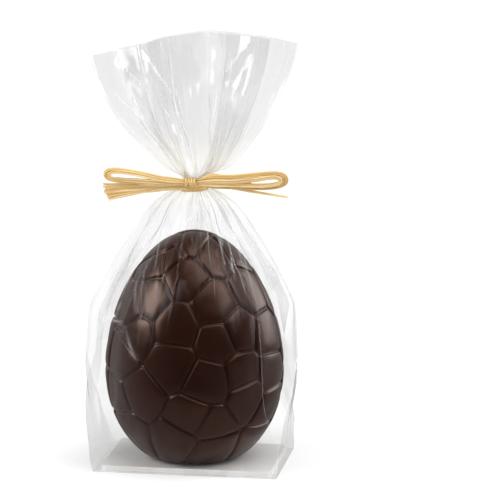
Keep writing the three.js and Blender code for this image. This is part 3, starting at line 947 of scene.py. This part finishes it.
def crumpled(rows, ridges):
    """The film's rows moved out and in by creases, which stop short of its folds."""
    above = np.roll(rows, -1, axis=0) - rows
    above[-1] = above[-2]
    around = np.roll(rows, -1, axis=1) - np.roll(rows, 1, axis=1)
    normals = unit(np.cross(around, above))
    across, up = cloth_grid(rows)

    def off_folds(folds):
        apart = round_cloth(across[0][:, None] - np.array(folds))
        return smooth(np.abs(apart).min(axis=1), 1, 7)

    in_fan = (np.arange(len(rows)) > BODY_ROWS)[:, None]
    fade = np.where(in_fan, off_folds(fan_fold_lengths()), off_folds(FOLD_LENGTHS))
    heights = ridge_heights(across, up, ridges) * fade
    return rows + normals * heights[..., None]


def film_foot(ring):
    """The folded-in bottom of the bag: a flat strip from its foot to the card."""
    inner = ring.copy()
    for axis, limit in enumerate(FOOT_OPENING):
        inner[:, axis] = np.clip(inner[:, axis], -limit, limit)
    middle = ring * 0.4 + inner * 0.6
    for strip, height in zip((inner, middle), FOOT_HEIGHTS):
        strip[:, 2] = height
    return np.stack([inner, middle])


def sheet_faces(points):
    """Two triangles for each square of the tube, cut along its shorter diagonal."""
    a = np.arange(len(points) - COLUMNS)
    b = a - a % COLUMNS + (a + 1) % COLUMNS
    c, d = b + COLUMNS, a + COLUMNS
    rising = (norm(points[a] - points[c], axis=1) < norm(points[b] - points[d], axis=1))[:, None]
    first = np.where(rising, np.stack([a, b, c], 1), np.stack([a, b, d], 1))
    second = np.where(rising, np.stack([a, c, d], 1), np.stack([b, c, d], 1))
    return np.concatenate([first, second])


def fan_layers(row_count):
    """Where the fan's film is tucked into its sides, and where it is alone before them."""
    folds = fan_fold_lengths()
    around = (np.arange(COLUMNS) * COLUMN_STEP - folds[0]) % GIRTH + folds[0]
    in_gusset = ((around > folds[1]) & (around < folds[3])) | (around > folds[4])
    in_fan = ramp(np.arange(row_count) - BODY_ROWS, 4, 12)
    beyond = [(1 - smooth(around - folds[start], 11, 18)) * (around > folds[start]) for start in (0, 3)]
    lone = np.outer(in_fan, sum(beyond) * (1 - in_gusset))
    return np.outer(in_fan, in_gusset).ravel(), lone.ravel()


def paint_film(film, heights, crests):
    """Gives the film's points the values that its material reads."""
    tucked, lone = fan_layers(len(heights) // COLUMNS)
    above = heights - NECK_Z
    painted = {
        "tucked": tucked,
        "lone": lone,
        "gathered": smooth(above, -20, -3) - smooth(above, 3, 32),
        "spread": smooth(heights, 160, 180) * (1 - tucked),
        "creased": smooth(heights, 66, 112),
        # The crests' whitish marks, a painted highlight.
        "crest_highlight": crests.ravel(),
    }
    for name, values in painted.items():
        film.data.attributes.new(name, "FLOAT", "POINT").data.foreach_set("value", values)


def map_film(film, faces):
    """A UV map of the lengths round and up the cloth."""
    across, up = faces % COLUMNS, faces // COLUMNS
    across = np.where((across == 0) & (across.max(axis=1) > COLUMNS / 2)[:, None], COLUMNS, across)
    layer = film.data.uv_layers.new(name="cloth")
    layer.data.foreach_set("uv", np.stack([across * COLUMN_STEP, up * ROW_STEP], -1).ravel())


def add_film():
    """One sheet, from the strip beneath the card up to the top edge."""
    rng = np.random.default_rng(4)
    body = film_body(rng)
    rows = np.concatenate([body, film_fan(rng, body[-1])[1:]])
    strewn = [ridge for kind in STREWN_CREASES for ridge in strewn_ridges(rng, *kind)]
    # The plainest creases get whitish marks on their crests, a painted highlight.
    marks = [(*ends, CREST_REACH, abs(height)) for *ends, _, height in FRONT_CREASES]
    crests = np.clip(ridge_heights(*cloth_grid(rows), marks), 0, 1)
    rows = keep_off_egg(crumpled(rows, strewn + FRONT_CREASES))
    rows[0] = body[0]
    rows[0, :, 2] = FOOT_HEIGHTS[0]
    foot = film_foot(rows[0])
    rows = np.concatenate([foot, rows])
    crests = np.concatenate([np.zeros(foot.shape[:2]), crests])
    points = rows.reshape(-1, 3)
    faces = sheet_faces(points)
    film = place("film_bag", points, faces.tolist(), film_material(), ["bag"], crease_deg=14)
    paint_film(film, points[:, 2], crests)
    map_film(film, faces)


# -------- raffia bow

# A strand's sides, their distance on the fibre map, and how often it changes on its way.
SIDES = 16
SIDE_STEP = 0.4
CHANGES = 9

# Ribbons of the loops: width, thickness, how far they turn in radians, and their way out from the
# knot and back, as [x, z, how far behind the bow's front].
LEFT_RIBBONS = [
    (2.7, 1.1, 0.5, [
        (-2.7, 157.6, 0.6), (-15.6, 159.0, 0.0), (-28.8, 161.6, -0.4), (-39.8, 163.2, -0.4),
        (-45.8, 162.9, 0.0), (-47.7, 160.8, 0.3), (-45.6, 158.6, 0.6), (-38, 157.6, 0.6),
        (-28, 157.0, 0.5), (-15.6, 156.3, 0.6), (-2.7, 156.2, 0.8)]),
    (2.0, 0.9, -0.4, [
        (-2.7, 156.9, -0.4), (-15, 158.1, -1.2), (-27, 160.6, -1.5), (-37, 162.2, -1.5),
        (-43, 162.3, -1.4), (-46, 160.6, -1.1), (-43, 158.7, -1.0), (-34, 157.9, -0.9),
        (-24, 157.3, -1.0), (-14, 156.6, -0.8), (-2.7, 156, -0.2)]),
]
RIGHT_RIBBONS = [
    (3.1, 1.1, 0.5, [
        (2.4, 157.6, 0.6), (12.4, 159.4, 0.0), (23.8, 159.6, -0.2), (34.8, 160.7, -0.4),
        (45.8, 161.4, -0.3), (51, 160.6, 0.0), (52.6, 158.3, 0.4), (50.9, 155.9, 0.6),
        (43.6, 154.5, 0.6), (29.3, 154.4, 0.5), (15, 154.8, 0.5), (2.4, 155.6, 0.8)]),
    (2.1, 0.9, -0.5, [
        (2.4, 156.9, -0.5), (13, 157.7, -1.3), (24, 157.5, -1.6), (35, 158.4, -1.6),
        (45, 160.1, -1.5), (48.9, 159.5, -1.2), (50, 158, -1.0), (48.4, 156.4, -0.8),
        (41, 155.4, -0.8), (28, 155.5, -0.9), (15, 155.6, -0.7), (2.4, 156, -0.2)]),
    (2.2, 0.9, 0.3, [
        (2.4, 156.5, 0.4), (11, 160.7, 0.9), (19, 159.2, 1.0), (28, 157.8, 0.9),
        (32.5, 156.9, 0.8), (28, 156.1, 0.6), (18, 155.4, 0.4), (2.4, 155.9, 0.4)]),
]
RIGHT_TAIL = [
    (2.6, 155.6, 1.8), (14, 155, 1.9), (26, 153.1, 1.8), (40, 150.8, 1.8), (53.8, 148.8, 1.8),
]

# The left tails' cut ends, [x, z].
TAIL_ENDS = [(-49.4, 154.6), (-48.4, 152.9), (-48.9, 151.0), (-47.6, 149.2), (-46.6, 147.4)]

BOW_FRONT = -10.2
BAND_TURNS = 4
BAND_RADIUS = 6.9
BAND_HEIGHT = 151.2
BAND_STEP = 1.1
KNOT_TURNS = 6
KNOT_LEFT = -2.75
KNOT_STEP = 0.98
KNOT_FRONT = -10.1
KNOT_HEIGHT = 156.0


def smooth_path(knots, count):
    """Points of a Catmull-Rom curve through knots."""
    knots = np.asarray(knots, float)
    padded = np.concatenate([2 * knots[:1] - knots[1:2], knots, 2 * knots[-1:] - knots[-2:-1]])
    path = []
    for spot in np.linspace(0, len(knots) - 1 - 1e-9, count):
        i, t = int(spot), spot % 1
        a, b, c, d = padded[i:i + 4]
        path.append(0.5 * (2 * b + (c - a) * t + (2 * a - 5 * b + 4 * c - d) * t * t
                           + (3 * b - a - 3 * c + d) * t ** 3))
    return np.array(path)


class Strands:
    """Fibrous strands gathered into one mesh, with a fibre map and a tone for each."""

    def __init__(self, seed, lightest=0.0, darkest=0.85):
        self.rng = np.random.default_rng(seed)
        self.tone_range = lightest, darkest
        self.points, self.faces, self.uvs, self.tones = [], [], [], []

    def changing(self, share, low, high):
        """A value that drifts between two limits on the way along a strand."""
        return np.interp(share, np.linspace(0, 1, CHANGES), self.rng.uniform(low, high, CHANGES))

    def ribbon(self, knots, width, thickness, turn=0.0, splits=3, **shape):
        """A strand that has split into narrower ones side by side."""
        for split in range(splits):
            beside = (split - (splits - 1) / 2) * width / splits
            self.add(knots, 1.25 * width / splits, 0.85 * thickness, turn, beside=beside, stray=0.22,
                     **shape)

    def add(self, knots, width, thickness, turn=0.0, taper=(0.5, 0.5), rows=72, beside=0.0, stray=0.0):
        """A strand along knots, or beside them and straying a little."""
        path = smooth_path(knots, rows)
        tangent = unit(np.gradient(path, axis=0))
        across = unit(np.cross(tangent, np.array([0.0, 1.0, 0.0])))
        deep = np.cross(across, tangent)
        share = np.linspace(0, 1, rows)
        twist = (turn * share + self.rng.uniform(-0.25, 0.25))[:, None]
        ridges = self.rng.uniform(-0.09, 0.09, SIDES)
        size = np.interp(share, [0, 0.08, 0.92, 1], [taper[0], 1, 1, taper[1]])
        if stray:
            aside = (beside + self.changing(share, -stray, stray)) * size
            path = path + across * aside[:, None] + deep * self.rng.uniform(-stray, stray)
        swell = self.changing(share, 0.88, 1.1)
        lengths = running(norm(np.diff(path, axis=0), axis=1))

        angle = np.arange(SIDES) * 2 * pi / SIDES
        radius = (1 + ridges) * size[:, None] * swell[:, None]
        flat_x = np.cos(angle) * width / 2 * radius
        flat_y = np.sin(angle) * thickness / 2 * radius
        sideways = flat_x * np.cos(twist) - flat_y * np.sin(twist)
        inwards = flat_x * np.sin(twist) + flat_y * np.cos(twist)
        rings = path[:, None] + sideways[..., None] * across[:, None] + inwards[..., None] * deep[:, None]
        self.cover(lengths, self.rng.uniform(0, 50))
        self.points += rings.reshape(-1, 3).tolist()
        self.tones += [self.rng.uniform(*self.tone_range)] * (rows * SIDES)

    def cover(self, lengths, start):
        """Faces round a new strand and on its ends."""
        first = len(self.points)
        last = first + (len(lengths) - 1) * SIDES
        for row, (low, high) in enumerate(zip(lengths[:-1], lengths[1:])):
            corner = first + row * SIDES
            for side in range(SIDES):
                a, b = corner + side, corner + (side + 1) % SIDES
                self.faces.append((a, b, b + SIDES, a + SIDES))
                u, v = start + side * SIDE_STEP, start + (side + 1) * SIDE_STEP
                self.uvs += [(u, low), (v, low), (v, high), (u, high)]
        for ring, corner in ((range(SIDES)[::-1], first), (range(SIDES), last)):
            self.faces.append(tuple(corner + side for side in ring))
            self.uvs += [(start + side * SIDE_STEP, 0.0) for side in ring]

    def build(self, name, material, nodes):
        piece = place(name, self.points, self.faces, material, nodes, crease_deg=50)
        layer = piece.data.uv_layers.new(name="fibre")
        layer.data.foreach_set("uv", np.array(self.uvs).ravel())
        tone = piece.data.attributes.new("tone", "FLOAT", "POINT")
        tone.data.foreach_set("value", self.tones)


def bow_route(spots):
    """Points of the bow, whose front hangs a little to the left."""
    def hang(x):
        return float(np.interp(x, [-48, -4, 4, 52], [-1.8, -0.8, -0.8, 0.6]))

    return [(x * (0.98 if x < 0 else 0.965), BOW_FRONT + behind, z + hang(x)) for x, z, behind in spots]


def add_loops(material):
    for side, seed, ribbons in (("left", 21, LEFT_RIBBONS), ("right", 22, RIGHT_RIBBONS)):
        loop = Strands(seed)
        for width, thickness, turn, spots in ribbons:
            loop.ribbon(bow_route(spots), width, thickness, turn)
        loop.build(f"raffia_loop_{side}_strands", material, [f"raffia_loop_{side}"])


def add_left_tails(material):
    """Cut ends that leave the knot together and fan out downwards."""
    tails = Strands(23)
    for index, (x, z) in enumerate(TAIL_ENDS):
        behind = 1.6 + 0.5 * (index % 2)
        fall = z - KNOT_HEIGHT
        spots = [(-2.7, KNOT_HEIGHT + 0.6 + 0.38 * fall, behind)]
        for along, share, nearer in ((-14, 0.32, 0), (-28, 0.52, 0.2), (-40, 0.8, 0.1)):
            spots.append((along, KNOT_HEIGHT + share * fall, behind - nearer))
        tails.ribbon(bow_route(spots + [(x, z, behind)]), width=2.3 - 0.15 * (index % 3), thickness=0.9,
                     turn=0.4 - 0.2 * index, taper=(0.5, 1.0), rows=56, splits=2)
    tails.build("raffia_tails_left_strands", material, ["raffia_tails_left"])


def add_right_tail(material):
    tail = Strands(24)
    tail.add(bow_route(RIGHT_TAIL), width=1.5, thickness=0.8, turn=0.6, taper=(1.0, 0.6), rows=56)
    tail.build("raffia_tail_right_strand", material, ["raffia_tail_right"])


def add_band(material):
    """Slanting turns round the neck."""
    band = Strands(25)
    for turn in range(BAND_TURNS):
        z = BAND_HEIGHT + BAND_STEP * turn
        ring = [(BAND_RADIUS * sin(a), -BAND_RADIUS * cos(a), z + 0.5 * sin(a + turn))
                for a in np.linspace(0, 2 * pi, 25)]
        band.ribbon(ring, width=1.9, thickness=1.1, taper=(1, 1), splits=2)
    band.build("raffia_band_turns", material, ["raffia_band"])


def add_knot(material):
    """Upright turns round the bow's middle, pale to dark straw."""
    knot = Strands(26, lightest=0.5, darkest=1.0)
    for turn in range(KNOT_TURNS):
        x = KNOT_LEFT + KNOT_STEP * turn
        lean = 0.5 * sin(turn * 2.1)
        ring = [(x + lean * sin(a), KNOT_FRONT - 2.0 * cos(a), KNOT_HEIGHT + 2.1 * sin(a))
                for a in np.linspace(0, 2 * pi, 17)]
        knot.add(ring, width=1.0, thickness=0.7, taper=(1, 1), rows=48)
    knot.build("raffia_knot_turns", material, ["raffia_knot"])


# -------- card

def add_card():
    """The card keeps its CAD solid, with a paper finish."""
    card = bpy.data.objects["card"]
    for slot in card.material_slots:
        slot.material = board_material()


# -------- the whole scene

scene.view_settings.view_transform = "Standard"
scene.cycles.transparent_max_bounces = 48
add_camera()
add_world()
add_lights()
add_floor()
add_card()
add_egg()
add_film()
raffia = raffia_material()
for add_part in (add_loops, add_left_tails, add_right_tail, add_band, add_knot):
    add_part(raffia)
